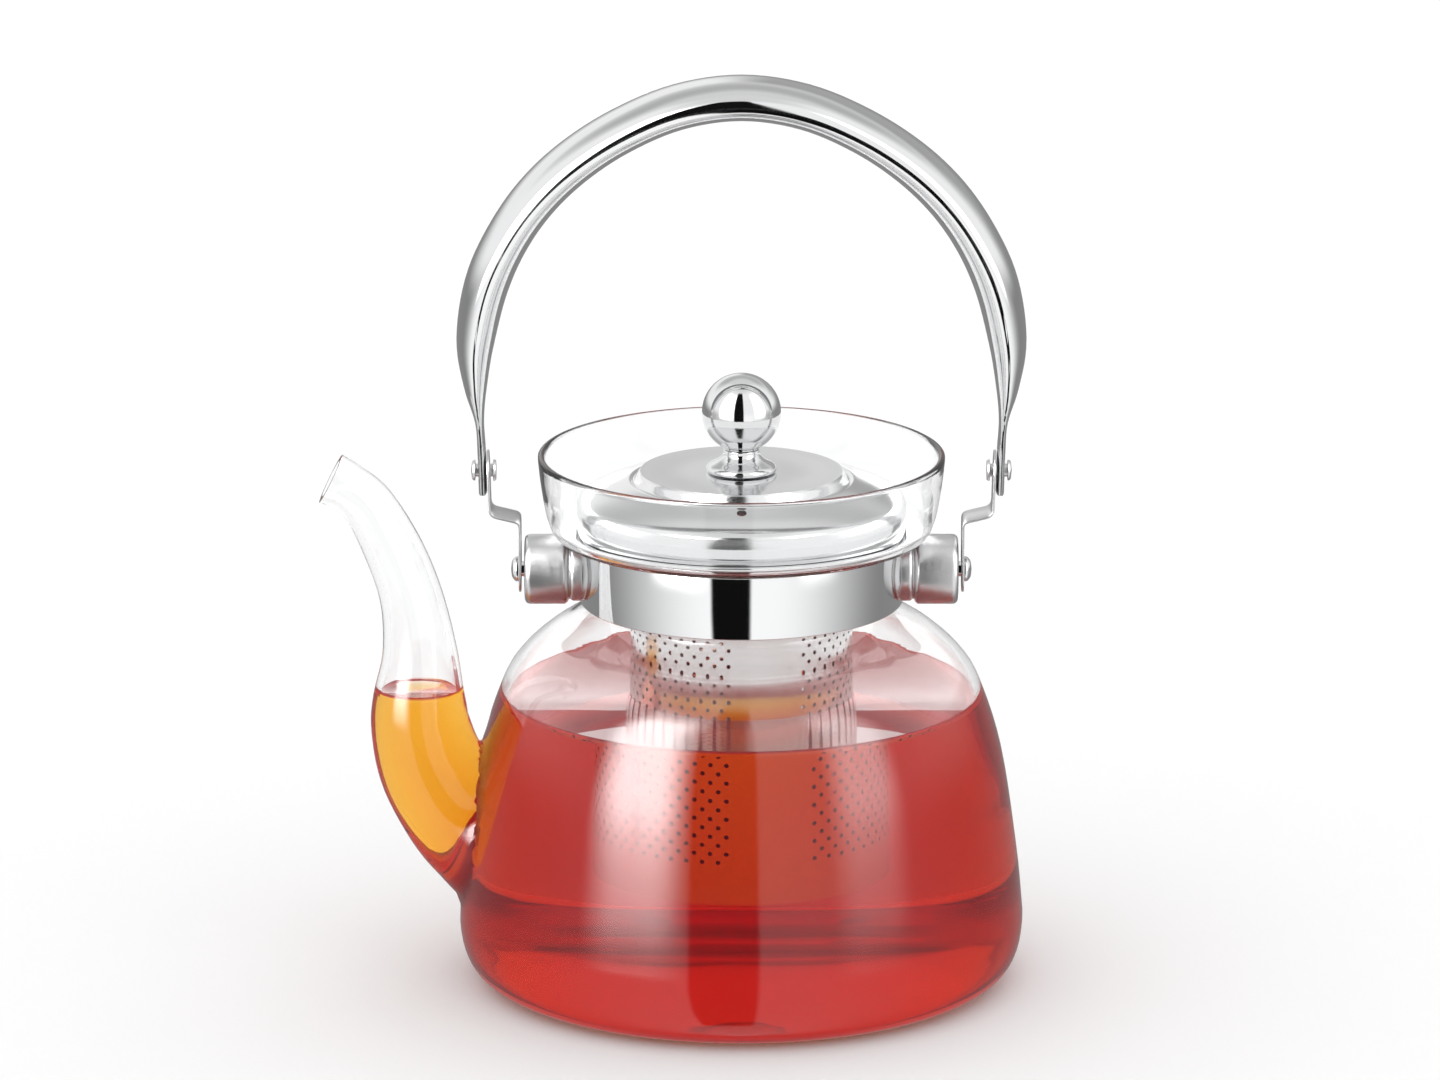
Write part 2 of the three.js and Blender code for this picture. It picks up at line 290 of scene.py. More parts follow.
# %% [markdown]
# ## Finishes
#
# Clear glass is a clean dielectric with a very slight unevenness from blowing. Tea is a liquid that
# takes light away as it passes through, so it is orange in the thin spout and deep red in the belly:
# one absorption volume gives both. A faint glow stands in for the light that real tea scatters, which
# absorption alone leaves out. Polished steel is a metal with a low roughness, faint polishing marks
# and a few soft smears; the straps are plainer, with a satin grain; the basket is bright sheet with a
# rolled grain.


# %% Glass, tea and silicone
TEA_Z = 76.6
GLASS_IOR = 1.47
TEA_IOR = 1.333


def height(nodes):
    """The height of a point over the table, in millimetres."""
    place = nodes.add("ShaderNodeTexCoord").outputs["Object"]
    parts = nodes.add("ShaderNodeSeparateXYZ", Vector=place)
    return Number(nodes.tree, parts.outputs["Z"]) * 1000


def clear_glass(nodes):
    wobble = noise(nodes, 38, (1, 1, 0.5), detail=1.5)
    inside = nodes.number("ShaderNodeAttribute", "Fac", {"attribute_name": "inside"})
    wet = inside.over(0.4, 0.6) * (1 - height(nodes).over(TEA_Z + 0.5, TEA_Z + 0.6))
    return {"Base_Color": (0.992, 0.996, 0.996, 1), "Roughness": 0.0, "IOR": GLASS_IOR,
            "Transmission_Weight": 1.0, "Normal": bump(nodes, wobble, 0.0004, 0.5),
            "Touching": (wet, GLASS_IOR / TEA_IOR)}


TEA_ABSORPTION = (6.4, 38.0, 160.0)  # red, green and blue, per metre


def black_tea(nodes):
    strongest = max(TEA_ABSORPTION)
    passed = [1 - value / strongest for value in TEA_ABSORPTION]
    volume = nodes.add("ShaderNodeVolumeAbsorption", Color=(*passed, 1), Density=strongest)
    ripple = noise(nodes, 22, detail=1.0)
    against_glass = 1 - height(nodes).over(TEA_Z - 0.5, TEA_Z - 0.4)
    return {"Base_Color": (1, 1, 1, 1), "Roughness": 0.0, "IOR": TEA_IOR, "Transmission_Weight": 1.0,
            "Normal": bump(nodes, ripple, 0.00005, 0.3), "Volume": volume.outputs[0],
            "Emission_Color": (1, 0.2, 0.26, 1), "Emission_Strength": 0.044,
            "Touching": (against_glass, 1.0)}


def soft_silicone(nodes):
    grain = noise(nodes, 1500)
    return {"Base_Color": (0.8, 0.8, 0.77, 1), "Roughness": 0.45 + grain * 0.2,
            "Normal": bump(nodes, grain, 0.00003), "Subsurface_Weight": 0.3, "Subsurface_Scale": 0.002}


GLASS = principled("clear glass", clear_glass)
TEA = principled("black tea", black_tea)
SILICONE = principled("silicone", soft_silicone)


# %% Steels
def polished_steel(nodes):
    smears = noise(nodes, 60, detail=4).over(0.45, 0.75)
    marks = noise(nodes, 900, (1, 1, 6), detail=2)
    waves = noise(nodes, 45, detail=1)
    return {"Base_Color": (0.80, 0.805, 0.81, 1), "Metallic": 1.0,
            "Roughness": 0.035 + smears * 0.05 + marks * 0.02,
            "Normal": bump(nodes, waves * 0.9 + marks * 0.04, 0.00012, 0.5)}


def satin_steel(nodes):
    grain = noise(nodes, 700, (1, 1, 0.08), detail=3)
    wear = noise(nodes, 90, detail=3).over(0.4, 0.8)
    return {"Base_Color": (0.72, 0.72, 0.725, 1), "Metallic": 1.0,
            "Roughness": 0.24 + grain * 0.14 + wear * 0.08, "Normal": bump(nodes, grain, 0.00002)}


def basket_steel(nodes):
    grain = noise(nodes, 800, (1, 1, 0.05), detail=3)
    stains = noise(nodes, 70, detail=4).over(0.5, 0.8)
    return {"Base_Color": (0.78, 0.78, 0.78, 1), "Metallic": 1.0,
            "Roughness": 0.14 + grain * 0.08 + stains * 0.08, "Normal": bump(nodes, grain, 0.000015)}


def spun_steel(nodes):
    rings = noise(nodes, 260, (1, 1, 0.4), detail=2)
    smears = noise(nodes, 60, detail=4).over(0.45, 0.75)
    tangent = nodes.add("ShaderNodeTangent", {"direction_type": "RADIAL", "axis": "Z"}).outputs[0]
    return {"Base_Color": (0.83, 0.833, 0.84, 1), "Metallic": 1.0,
            "Roughness": 0.1 + smears * 0.06 + rings * 0.03, "Anisotropic": 0.7, "Tangent": tangent,
            "Normal": bump(nodes, rings, 0.00001, 0.5)}


POLISHED = principled("polished steel", polished_steel)
SPUN = principled("spun steel", spun_steel)
SATIN = principled("satin steel", satin_steel)
BASKET = principled("basket steel", basket_steel)
print("finishes:", [material.name for material in bpy.data.materials])


# %% [markdown]
# ## Tools for turned and pressed pieces
#
# A lathe or a press makes a piece from one outline, so most pieces here are an outline that is spun
# round the pot's axis. An outline is a short list of (radius, height) points. `rounded` breaks its
# corners, `flowing` runs a smooth curve through it, and `offset` moves it sideways by a wall.

# %% Outlines
def rounded(corners, radius, closed=False, steps=4):
    """Rounds an outline's corners. A corner may carry its own radius as a third value."""
    outline = []
    for i, corner in enumerate(corners):
        here = Vector(corner[:2])
        own = corner[2] if len(corner) > 2 else radius
        is_end = not closed and i in (0, len(corners) - 1)
        if own == 0 or is_end:
            outline.append(here)
            continue
        before = Vector(corners[i - 1][:2]) - here
        after = Vector(corners[(i + 1) % len(corners)][:2]) - here
        reach = min(own, before.length * 0.48, after.length * 0.48)
        start = here + before.normalized() * reach
        end = here + after.normalized() * reach
        for k in range(steps + 1):
            t = k / steps
            outline.append(start * (1 - t) ** 2 + here * (2 * t * (1 - t)) + end * t * t)
    return outline


def flowing(points, steps=6):
    """A smooth curve through points of any dimension, with a given number of steps between two."""
    points = [Vector(point) for point in points]
    ends = [points[0] * 2 - points[1], *points, points[-1] * 2 - points[-2]]
    curve = []
    for a, b, c, d in zip(ends, ends[1:], ends[2:], ends[3:]):
        for k in range(steps):
            t = k / steps
            curve.append(0.5 * (2 * b + (c - a) * t + (2 * a - 5 * b + 4 * c - d) * t * t
                                + (3 * b - a - 3 * c + d) * t * t * t))
    curve.append(points[-1])
    return curve


def offset(outline, distance):
    """Moves an outline to its left by a distance, point by point."""
    moved = []
    for i, point in enumerate(outline):
        along = outline[min(i + 1, len(outline) - 1)] - outline[max(i - 1, 0)]
        moved.append(point + Vector((-along.y, along.x)).normalized() * distance)
    return moved


# %% Spinning, pressing and finishing
def clean(bm):
    """Merges doubles and turns every face out."""
    bmesh.ops.remove_doubles(bm, verts=bm.verts, dist=0.002 * MM)
    bmesh.ops.dissolve_degenerate(bm, edges=bm.edges, dist=0.001 * MM)
    bmesh.ops.recalc_face_normals(bm, faces=bm.faces)


def turned(outline, closed=False, steps=96):
    """Spins an outline of (radius, height) points, in millimetres, round the pot's axis."""
    bm = bmesh.new()
    verts = [bm.verts.new((point[0] * MM, 0, point[1] * MM)) for point in outline]
    followers = verts[1:] + (verts[:1] if closed else [])
    edges = [bm.edges.new(pair) for pair in zip(verts, followers)]
    bmesh.ops.spin(bm, geom=verts + edges, cent=(0, 0, 0), axis=(0, 0, 1), angle=TURN, steps=steps,
                   use_merge=True)
    clean(bm)
    return bm


def pressed(outline, thickness, steps=96):
    """A sheet-metal skin of revolution; the outline is its outside and the wall grows inwards."""
    bm = turned(outline, steps=steps)
    bmesh.ops.solidify(bm, geom=bm.faces[:], thickness=thickness * MM)
    return bm


def soften(bm, width, segments=2, above=35):
    """Bevels the edges that turn by more than a number of degrees."""
    sharp = [edge for edge in bm.edges
             if edge.is_manifold and edge.calc_face_angle() > math.radians(above)]
    bmesh.ops.bevel(bm, geom=sharp, affect="EDGES", offset=width * MM, segments=segments,
                    profile=0.5, material=-1, clamp_overlap=True)
    return bm


def to_object(name, bm):
    mesh = bpy.data.meshes.new(name)
    bm.to_mesh(mesh)
    bm.free()
    thing = bpy.data.objects.new(name, mesh)
    scene.collection.objects.link(thing)
    return thing


def piece(name, bm, finish, body, stands_for=()):
    """Makes the finished piece, smooth except where its faces turn sharply, and hands it to the frame."""
    for face in bm.faces:
        face.smooth = True
    for edge in bm.edges:
        edge.smooth = not (edge.is_manifold and edge.calc_face_angle() > math.radians(38))
    thing = to_object(name, bm)
    thing.data.materials.append(finish)
    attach(thing, body)
    if stands_for:
        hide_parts(*stands_for)
    print(f"{name}: {len(thing.data.polygons)} faces")
    return thing


def combine(first, second, operation):
    """Cuts, joins or intersects two meshes with a Boolean modifier and returns the result."""
    base = to_object("base", first)
    tool = to_object("tool", second)
    modifier = base.modifiers.new("combine", "BOOLEAN")
    modifier.operation = operation
    modifier.solver = "EXACT"
    modifier.object = tool
    graph = bpy.context.evaluated_depsgraph_get()
    bm = bmesh.new()
    bm.from_object(base, graph)
    for thing in (base, tool):
        mesh = thing.data
        bpy.data.objects.remove(thing)
        bpy.data.meshes.remove(mesh)
    return bm


# %% [markdown]
# ## The glass
#
# The body is blown in a mould: a flat base, a low wide belly, a narrow neck, and a collar that flares
# above a small ledge. The spout is drawn from tube and welded on in a flame, so body and spout are one
# piece of glass. Here too they are joined into one closed wall: the spout's outside is added to the
# body's wall, then its channel is cut through both.
#
# Glass needs true thickness, because the light bends at each face. Two touching sheets with nothing
# between them would look like a bubble.

# %% Outline of the glass
GLASS_WALL = 2.2
BODY_R = span("glass_body", 0)[1]
RIM_Z = span("glass_body", 2)[1]
NECK_R = 40.2
LEDGE_Z = 121.0
BASE_R = 62.0


def belly_outline():
    """Outside of the glass from the edge of the flat base up to the neck."""
    corner = interpolate_bezier((BASE_R, 0), (BASE_R + 9, 0), (BODY_R, 6), (BODY_R, 17), 14)
    belly = flowing([(BODY_R, 17), (72.8, 34), (68.6, 61), (62.9, 79), (58.2, 86.6), (51.4, 92.8),
                     (45, 97), (41.2, 100.4), (NECK_R, 104), (NECK_R, 110)], 5)
    return [Vector(point[:2]) for point in corner] + belly[1:]


def glass_wall():
    """The pot's wall as one closed outline, from the base round the rim and back down inside."""
    outside = belly_outline()
    ledge = flowing([(NECK_R, 117), (40.9, 118.7), (43.4, 119.3), (47.6, 119.6), (49.4, 120.7),
                     (50.3, 122.8), (51.4, 126.5), (52.6, 134), (53.2, RIM_Z - 1.6)], 4)
    lip_r = 0.95
    lip = [Vector((52.35 + lip_r * math.cos(a), RIM_Z - lip_r + lip_r * math.sin(a)))
           for a in (math.pi * k / 8 for k in range(1, 8))]
    seat = flowing([(51.4, RIM_Z - 1.6), (50.7, 134), (49.5, 127), (48.9, 123.8), (48.2, 121.8),
                    (46.8, LEDGE_Z), (40.6, LEDGE_Z), (38.7, 120.2), (38, 118), (38, 110)], 4)
    inside = offset(outside, GLASS_WALL)
    inside = [point for point in reversed(inside) if point.y > 2.9]
    floor = [Vector((BASE_R - 4, 2.6)), Vector((0, 2.4))]
    return [Vector((0, 0.6)), Vector((BASE_R - 8, 0.6)), Vector((BASE_R - 5, 0)), *outside, *ledge, *lip,
            *seat, *inside, *floor]


def filled_belly(shrink, top):
    """A solid of the belly's outside, moved in by a distance and closed at a height."""
    side = [point for point in offset(belly_outline(), shrink) if point.y < top - 1]
    low = shrink * 1.05
    return turned([Vector((0, low)), *side, Vector((side[-1].x, top)), Vector((0, top))], steps=128)


# %% The spout as a tube of changing width
SPOUT_WALL = 1.8
SPOUT_STATIONS = [  # x, z and outside radius along the swan neck
    (-66, 38.5, 19.4), (-74, 44.5, 15.9), (-81.2, 55.5, 14.3), (-84.3, 66, 13.2), (-84.8, 74, 12.3),
    (-84.5, 87, 9.9), (-86.6, 102, 8.3), (-91.2, 115, 7.7), (-97.4, 126.6, 6.9), (-103.1, 131.9, 6.5),
    (-107.4, 134.2, 7.0),
]


def spout_tube(thinner, root=0.0, past=0.0, sides=56):
    """A closed tube along the spout, thinner by a wall, lengthened at its root and past its mouth."""
    stations = flowing(SPOUT_STATIONS, 6)
    bm = bmesh.new()
    ring = bmesh.ops.create_circle(bm, segments=sides, radius=1, cap_ends=True)["verts"]
    rings = []
    for i, station in enumerate(stations):
        along = stations[min(i + 1, len(stations) - 1)] - stations[max(i - 1, 0)]
        along = Vector((along.x, 0, along.y)).normalized()
        across = Vector((along.z, 0, -along.x))
        middle = Vector((station.x, 0, station.y))
        middle += along * ((past if i == len(stations) - 1 else 0) - (root if i == 0 else 0))
        rings.append((middle, across, station.z - thinner))
    for i, (middle, across, radius) in enumerate(rings):
        if i:
            edges = [edge for edge in bm.edges if edge.verts[0] in ring and edge.verts[1] in ring]
            made = bmesh.ops.extrude_edge_only(bm, edges=edges)["geom"]
            ring = sorted((item for item in made if isinstance(item, bmesh.types.BMVert)),
                          key=lambda vert: vert.index)
            order = {}
            for vert in ring:
                below = next(e.other_vert(vert) for e in vert.link_edges if e.other_vert(vert) in places)
                order[vert] = places[below]
            places = order
        else:
            places = {vert: TURN * k / sides for k, vert in enumerate(ring)}
        for vert, angle in places.items():
            spot = middle + across * (radius * math.cos(angle))
            vert.co = Vector((spot.x, radius * math.sin(angle), spot.z)) * MM
    open_ring = [edge for edge in bm.edges if edge.is_boundary]
    bmesh.ops.edgeloop_fill(bm, edges=open_ring)
    clean(bm)
    return bm


# %% Join the spout and cut its channel
def weld_fillet(bm):
    """Melts the crease where the spout meets the body, as the flame does."""
    crease = {vert for edge in bm.edges for vert in edge.verts
              if edge.is_manifold and edge.calc_face_angle() > math.radians(14)
              and vert.co.x < -0.05 and 0.012 < vert.co.z < 0.08}
    near = set(crease)
    for _ in range(2):
        near |= {edge.other_vert(vert) for vert in near for edge in vert.link_edges}
    for _ in range(5):
        bmesh.ops.smooth_vert(bm, verts=list(near), factor=0.5, use_axis_x=True, use_axis_y=True,
                              use_axis_z=True)


def round_mouth(bm):
    """Rounds the cut edge of the spout's mouth."""
    end, before = (Vector((x, 0, z)) * MM for x, z in (SPOUT_STATIONS[-1][:2], SPOUT_STATIONS[-2][:2]))
    stations = flowing(SPOUT_STATIONS, 6)
    last = stations[-1] - stations[-2]
    along = Vector((last.x, 0, last.y)).normalized()
    rim = [edge for edge in bm.edges
           if all(abs((vert.co - end).dot(along)) < 0.05 * MM for vert in edge.verts)
           and all((vert.co - end).length < (end - before).length for vert in edge.verts)]
    bmesh.ops.bevel(bm, geom=rim, affect="EDGES", offset=0.7 * MM, segments=4, profile=0.5, material=-1)


INTO_GLASS = 0.35


def pot_filling():
    """A solid of the whole inside of belly and spout, a hair's breadth into the glass."""
    belly = filled_belly(GLASS_WALL - INTO_GLASS, 95)
    return combine(belly, spout_tube(SPOUT_WALL - INTO_GLASS, root=10), "UNION")


def mark_inside(bm):
    """Marks the vertices of the inner surface, where the glass can be wet."""
    filling = pot_filling()
    skin = BVHTree.FromBMesh(filling)
    filling.free()
    layer = bm.verts.layers.float.new("inside")
    for vert in bm.verts:
        found = skin.find_nearest(vert.co, 0.9 * MM)
        vert[layer] = 0.0 if found[0] is None else 1.0


def glass_with_spout():
    wall = turned([tuple(point) for point in glass_wall()], closed=False, steps=128)
    spout = combine(spout_tube(0, root=8), filled_belly(GLASS_WALL / 2, 100), "DIFFERENCE")
    glass = combine(wall, spout, "UNION")
    glass = combine(glass, spout_tube(SPOUT_WALL, root=12, past=6), "DIFFERENCE")
    bmesh.ops.remove_doubles(glass, verts=glass.verts, dist=0.05 * MM)
    clean(glass)
    weld_fillet(glass)
    round_mouth(glass)
    mark_inside(glass)
    return glass


piece("pot_glass", glass_with_spout(), GLASS, "pot", ["glass_body", "glass_spout"])

# %% [markdown]
# ## The tea
#
# The liquid fills the belly and stands at the same height in the spout. Its sides go a hair's breadth
# into the glass, so no film of air is left between them, and its edge climbs the wall a little as a
# real meniscus does.

# %% Fill the pot
def tea_body():
    bm = pot_filling()
    geom = bm.verts[:] + bm.edges[:] + bm.faces[:]
    bmesh.ops.bisect_plane(bm, geom=geom, plane_co=(0, 0, TEA_Z * MM), plane_no=(0, 0, 1),
                           clear_outer=True)
    edges = [edge for edge in bm.edges if edge.is_boundary]
    bmesh.ops.holes_fill(bm, edges=edges, sides=0)
    clean(bm)
    tops = [face for face in bm.faces if face.normal.z > 0.99 and face.calc_center_median().z > 0.07]
    rims = {vert for face in tops for vert in face.verts}
    bmesh.ops.inset_individual(bm, faces=tops, thickness=1.1 * MM)
    for vert in rims:
        vert.co.z += 1.0 * MM
    return bm


piece("tea", tea_body(), TEA, "pot")

# %% [markdown]
# ## Band, liner and lugs
#
# The band is rolled from a strip and closed under one lug. Its polished face has to be a true cylinder,
# because its reflections would show any facet, so it is spun with many steps and only its edges are
# broken. A thin silicone sleeve keeps steel off glass. Each lug is a turned boss with a waist next to
# the band and a soft outer edge.

# %% Band and liner
BAND_R = span("neck_band", 0)[1]
BAND_LOW, BAND_HIGH = span("neck_band", 2)
SHEET = 0.8
band = rounded([(BAND_R, BAND_LOW), (BAND_R, BAND_HIGH), (BAND_R - SHEET, BAND_HIGH),
                (BAND_R - SHEET, BAND_LOW)], 0.3, closed=True)
band_mesh = turned(band, closed=True, steps=180)
slot_cutter = bmesh.new()
bmesh.ops.create_cube(slot_cutter, size=1)
bmesh.ops.scale(slot_cutter, vec=(6 * MM, 1 * MM, 30 * MM), verts=slot_cutter.verts)
bmesh.ops.translate(slot_cutter, vec=(BAND_R * MM, 0, 110 * MM), verts=slot_cutter.verts)
band_mesh = combine(band_mesh, slot_cutter, "DIFFERENCE")
piece("band_polished", band_mesh, POLISHED, "pot", ["neck_band"])

liner_r = BAND_R - SHEET - 0.25
liner = rounded([(liner_r, BAND_LOW + 0.8), (liner_r, BAND_HIGH - 0.8), (NECK_R + 0.15, BAND_HIGH - 0.8),
                 (NECK_R + 0.15, BAND_LOW + 2.4)], 0.25, closed=True)
piece("liner_sleeve", turned(liner, closed=True), SILICONE, "pot", ["band_liner"])

# %% Lugs and pivot screws
PIVOT_Z = sum(span("lug_right", 2)) / 2
LUG_R = span("lug_right", 1)[1]
LUG_FACE = span("lug_right", 0)[1]
HEAD_OUT = span("pivot_screw_right", 0)[1]


def along_x(bm, side, height, reach=0.0):
    """Lays a piece that was turned about Z along X, pointing to a side, at a height."""
    bmesh.ops.rotate(bm, verts=bm.verts, matrix=Matrix.Rotation(side * math.pi / 2, 3, "Y"))
    bmesh.ops.translate(bm, verts=bm.verts, vec=(side * reach * MM, 0, height * MM))
    return bm


LUG = rounded([(0, 41.6), (8.4, 41.6), (8.4, 44.3, 0.5), (7.7, 45.1, 0.4), (8.6, 45.5, 0.4),
               (LUG_R, 46.2, 0.6), (LUG_R, LUG_FACE, 1.7), (3, LUG_FACE, 0.3),
               (2.4, LUG_FACE - 0.6, 0.2), (2.4, 50), (0, 50)], 0.3, steps=5)
head_in = HEAD_OUT - 2.1
SCREW = rounded([(0, 50.4), (2, 50.4), (2, head_in, 0), (3.3, head_in, 0.2), (3.3, head_in + 0.9, 0.5),
                 (2.2, HEAD_OUT - 0.25, 0.8), (0, HEAD_OUT)], 0.3, steps=5)
for side, word in ((1, "right"), (-1, "left")):
    piece(f"lug_boss_{word}", along_x(turned(LUG, steps=72), side, PIVOT_Z), SATIN, "pot",
          [f"lug_{word}"])
    piece(f"pivot_pin_{word}", along_x(turned(SCREW, steps=40), side, PIVOT_Z), POLISHED, "pot",
          [f"pivot_screw_{word}"])

# %% [markdown]
# ## Bail straps and rivets
#
# A strap is a flat strip with an eye, bent twice in a Z. We bend a plain strip first, then trim it with
# a prism of the strip's true outline, which has round ends, and drill it. Trimming after bending keeps
# the bends clean.

# %% Straps
STRAP_W = span("bail_strap_right", 1)[1] - span("bail_strap_right", 1)[0]
STRAP_T = 1.2
STRAP_TOP = span("bail_strap_right", 2)[1]
RIVET_Z = sum(span("handle_rivet_right", 2)) / 2
STRAP_IN = LUG_FACE + 0.3


def rod_along_x(radius, low, high, height, sides=32):
    bm = bmesh.new()
    bmesh.ops.create_cone(bm, cap_ends=True, segments=sides, radius1=radius * MM, radius2=radius * MM,
                          depth=(high - low) * MM)
    return along_x(bm, 1, height, (low + high) / 2)


def stadium_along_x(radius, low_z, high_z):
    """A prism along X with a round bottom and a round top: the hull of two rods."""
    bm = rod_along_x(radius, 50, 72, low_z, 48)
    upper = rod_along_x(radius, 50, 72, high_z, 48)
    mesh = bpy.data.meshes.new("upper")
    upper.to_mesh(mesh)
    upper.free()
    bm.from_mesh(mesh)
    bpy.data.meshes.remove(mesh)
    hull = bmesh.ops.convex_hull(bm, input=bm.verts)
    inner = [item for item in hull["geom_interior"] if isinstance(item, bmesh.types.BMVert)]
    bmesh.ops.delete(bm, geom=inner, context="VERTS")
    hull_faces = {item for item in hull["geom"] if isinstance(item, bmesh.types.BMFace)}
    rest = [face for face in bm.faces if face not in hull_faces]
    bmesh.ops.delete(bm, geom=rest, context="FACES")
    clean(bm)
    return bm


def strap(side):
    route = rounded([(STRAP_IN + STRAP_T / 2, 100), (STRAP_IN + STRAP_T / 2, 123.8, 1.6),
                     (65.5, 125.7, 1.6), (66.0, 143)], 1.0, steps=5)
    bm = bmesh.new()
    verts = [bm.verts.new((point.x * MM, -STRAP_W / 2 * MM, point.y * MM)) for point in route]
    edges = [bm.edges.new(pair) for pair in zip(verts, verts[1:])]
    made = bmesh.ops.extrude_edge_only(bm, edges=edges)["geom"]
    moved = [item for item in made if isinstance(item, bmesh.types.BMVert)]
    bmesh.ops.translate(bm, verts=moved, vec=(0, STRAP_W * MM, 0))
    bmesh.ops.solidify(bm, geom=bm.faces[:], thickness=-STRAP_T / 2 * MM)
    clean(bm)
    half = STRAP_W / 2
    bm = combine(bm, stadium_along_x(half, PIVOT_Z, STRAP_TOP - half), "INTERSECT")
    bm = combine(bm, rod_along_x(2.3, 50, 62, PIVOT_Z), "DIFFERENCE")
    bm = combine(bm, rod_along_x(1.9, 62, 70, RIVET_Z), "DIFFERENCE")
    clean(bm)
    soften(bm, 0.15)
    if side < 0:
        bmesh.ops.scale(bm, vec=(-1, 1, 1), verts=bm.verts)
        clean(bm)
    return bm


RIVET_IN, RIVET_OUT = span("handle_rivet_right", 0)
RIVET = rounded([(0, RIVET_IN), (2.6, RIVET_IN + 0.1, 0.3), (2.9, 64.9, 0.2), (1.7, 64.95, 0),
                 (1.7, 69.5, 0), (2.8, 69.6, 0.2), (2.5, RIVET_OUT - 0.3, 0.5), (0, RIVET_OUT)], 0.3)
for side, word in ((1, "right"), (-1, "left")):
    piece(f"strap_{word}", strap(side), SATIN, "bail", [f"bail_strap_{word}"])
    piece(f"rivet_{word}", along_x(turned(RIVET, steps=32), side, RIVET_Z), SATIN, "bail",
          [f"handle_rivet_{word}"])

# %% [markdown]
# ## The arched handle
#
# The handle is two pressed halves that close on each other like a pod, wide and round under the hand
# and pinched flat at the ends where the straps are riveted. A half starts as half an oval of edges.
# We extrude that from station to station along the arch, and give the skin its sheet thickness last.

# %% Handle halves
HANDLE_STATIONS = [  # x, z, half thickness in the arch's plane, half width across it
    (67.6, 131, 1.1, 6), (67.9, 142, 1.1, 6), (68.4, 150, 1.2, 6.2), (69.4, 159.5, 3.1, 7.4),
    (69.3, 171.5, 5, 9.6), (66.4, 186, 5.8, 11.4), (61.2, 198, 5.8, 12.6), (53.8, 209, 5.8, 13.4),
    (44, 218.6, 5.7, 13.8), (31.4, 227, 5.5, 14), (16.4, 233.4, 5.4, 14),
]
HANDLE_TOP = (0, 235.8, 5.4, 14)
SEAM = 0.24


def handle_half(outwards, sides=20):
    """One pressed half; outwards is 1 for the upper skin and -1 for the palm side."""
    mirrored = [(-x, z, thick, wide) for x, z, thick, wide in reversed(HANDLE_STATIONS)]
    stations = flowing([*HANDLE_STATIONS, HANDLE_TOP, *mirrored], 6)
    bm = bmesh.new()
    angles = [math.pi * k / sides for k in range(sides + 1)]
    row = [bm.verts.new((0, 0, 0)) for _ in angles]
    edges = [bm.edges.new(pair) for pair in zip(row, row[1:])]
    for i, (x, z, thick, wide) in enumerate(stations):
        before, after = stations[max(i - 1, 0)], stations[min(i + 1, len(stations) - 1)]
        along = Vector((after[0] - before[0], 0, after[1] - before[1])).normalized()
        out = Vector((along.z, 0, -along.x)) * outwards
        if i:
            made = bmesh.ops.extrude_edge_only(bm, edges=edges)["geom"]
            edges = [item for item in made if isinstance(item, bmesh.types.BMEdge)
                     and all(vert not in row for vert in item.verts)]
            row = [next(e.other_vert(vert) for e in vert.link_edges if e.other_vert(vert) in
                        {v for edge in edges for v in edge.verts}) for vert in row]
        for vert, angle in zip(row, angles):
            height = SEAM + (thick - SEAM) * math.sin(angle)
            spot = Vector((x, 0, z)) + out * height
            vert.co = Vector((spot.x, wide * math.cos(angle), spot.z)) * MM
    clean(bm)
    if bm.faces and outwards * sum(face.normal.z for face in bm.faces) < 0:
        bmesh.ops.reverse_faces(bm, faces=bm.faces)
    bmesh.ops.solidify(bm, geom=bm.faces[:], thickness=0.7 * MM)
    return bm


def drilled(bm):
    for side in (1, -1):
        bm = combine(bm, rod_along_x(1.9, 62, 74, RIVET_Z) if side > 0 else
                     rod_along_x(1.9, -74, -62, RIVET_Z), "DIFFERENCE")
    return bm


piece("handle_outer_skin", drilled(handle_half(1)), POLISHED, "bail",
      ["handle_outer_half"])
piece("handle_palm_skin", drilled(handle_half(-1)), POLISHED, "bail",
      ["handle_inner_half"])

# %% [markdown]
# ## The infuser basket
#
# The basket's wall is punched flat, rolled and seamed, so a plain strip runs down one side. We model one
# cell with its hole, and let the spin operator repeat it round the axis. Every second row is turned by
# half a cell, which staggers the holes as the punch does.

# %% One punched cell and the rows made from it
BASKET_R = span("infuser_wall", 0)[1]
BASKET_LOW, BASKET_HIGH = span("infuser_wall", 2)
COLUMNS = 50
PLAIN_COLUMNS = 5
ROW_PITCH = 2.2
HOLE_R = 0.56
HOLES_FROM = BASKET_LOW + 10
ROW_PAIRS = 17
FIRST_COLUMN = math.radians(33 - 90)
BASKET_SHEET = 0.5


